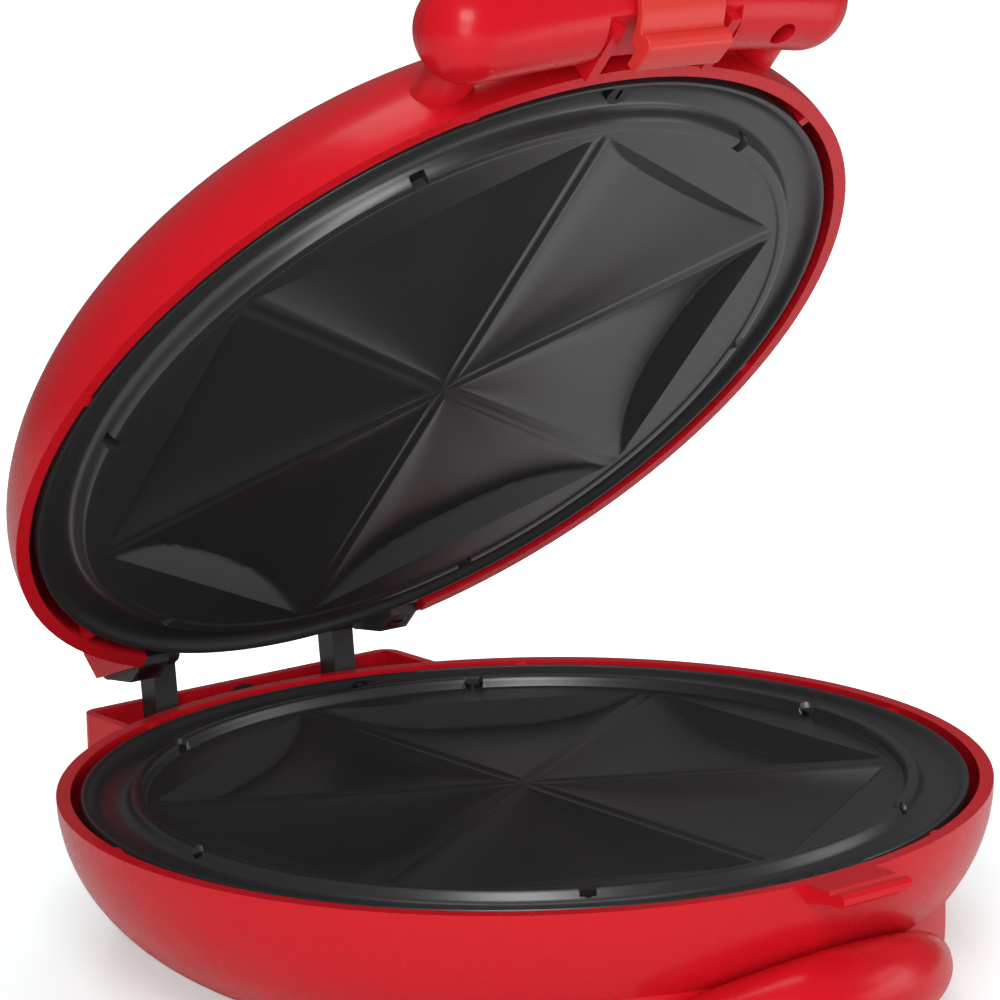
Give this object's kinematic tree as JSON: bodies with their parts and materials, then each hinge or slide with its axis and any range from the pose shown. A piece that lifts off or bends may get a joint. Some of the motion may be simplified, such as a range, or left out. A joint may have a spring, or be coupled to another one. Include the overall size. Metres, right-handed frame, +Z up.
{
  "type": "quesadilla maker",
  "caption": "Round countertop cooker with a hinged domed lid, two ribbed non-stick griddle plates, a bar handle with a swinging latch, and feet.",
  "frame": {"origin": "on the worktop under the middle of the round body", "axes": "+Z up, +Y toward the hinge at the back, -Y toward the handles, +X to the right as seen from the front"},
  "size_m": [0.234, 0.259, 0.256],
  "materials": {
    "red_abs_gloss": "moulded glossy red plastic",
    "latch_red": "glossy orange-red plastic",
    "black_plastic": "black heat-resistant plastic",
    "rubber_black": "black rubber",
    "nonstick_black": "satin black non-stick coating on cast aluminium",
    "bare_aluminium": "bare sheet",
    "wire_sleeve": "heat-resistant wire sleeve",
    "zinc_steel": "zinc plated steel",
    "red_lens": "red light pipe",
    "green_lens": "green light pipe",
    "lamp_card": "small circuit card with lamps"
  },
  "bodies": {
    "base": {"base_handle": "red_abs_gloss", "base_handle_screws": "zinc_steel", "base_shell": "red_abs_gloss", "base_wiring": "wire_sleeve", "bottom_cover": "black_plastic", "bottom_cover_screws": "zinc_steel", "cord_gland": "rubber_black", "foot_front_left": "rubber_black", "foot_front_right": "rubber_black", "foot_rear_left": "rubber_black", "foot_rear_right": "rubber_black", "hinge_post_left": "black_plastic", "hinge_post_right": "black_plastic", "hinge_post_screws": "zinc_steel", "lower_heater": "zinc_steel", "lower_heater_clamps": "bare_aluminium", "lower_plate": "nonstick_black", "lower_plate_screw": "zinc_steel", "lower_reflector": "bare_aluminium", "lower_reflector_posts": "zinc_steel", "lower_thermostat": "black_plastic", "terminal_block": "black_plastic", "thermal_fuse": "zinc_steel"},
    "lid": {"handle_half_screw": "zinc_steel", "hinge_lug_left": "black_plastic", "hinge_lug_right": "black_plastic", "hinge_lug_screws": "zinc_steel", "hinge_pin_left": "zinc_steel", "hinge_pin_right": "zinc_steel", "indicator_lamps": "lamp_card", "latch_pin": "zinc_steel", "lid_handle_lower": "red_abs_gloss", "lid_handle_screws": "zinc_steel", "lid_handle_upper": "red_abs_gloss", "lid_shell": "red_abs_gloss", "lid_wiring": "wire_sleeve", "power_lens": "red_lens", "ready_lens": "green_lens", "upper_heater": "zinc_steel", "upper_heater_clamps": "bare_aluminium", "upper_plate": "nonstick_black", "upper_plate_screw": "zinc_steel", "upper_reflector": "bare_aluminium", "upper_reflector_posts": "zinc_steel", "upper_thermostat": "black_plastic"},
    "latch": {"latch": "latch_red"}
  },
  "joints": [
    {"name": "lid_hinge", "type": "hinge", "parent": "base", "child": "lid", "pos_m": [0, 0.1218, 0.0592], "axis": [-1, 0, 0], "range_deg": [-47, 55]},
    {"name": "latch_pivot", "type": "hinge", "parent": "lid", "child": "latch", "pos_m": [0, -0.05119, 0.24149], "axis": [-1, 0, 0], "range_deg": [0, 35]}
  ]
}
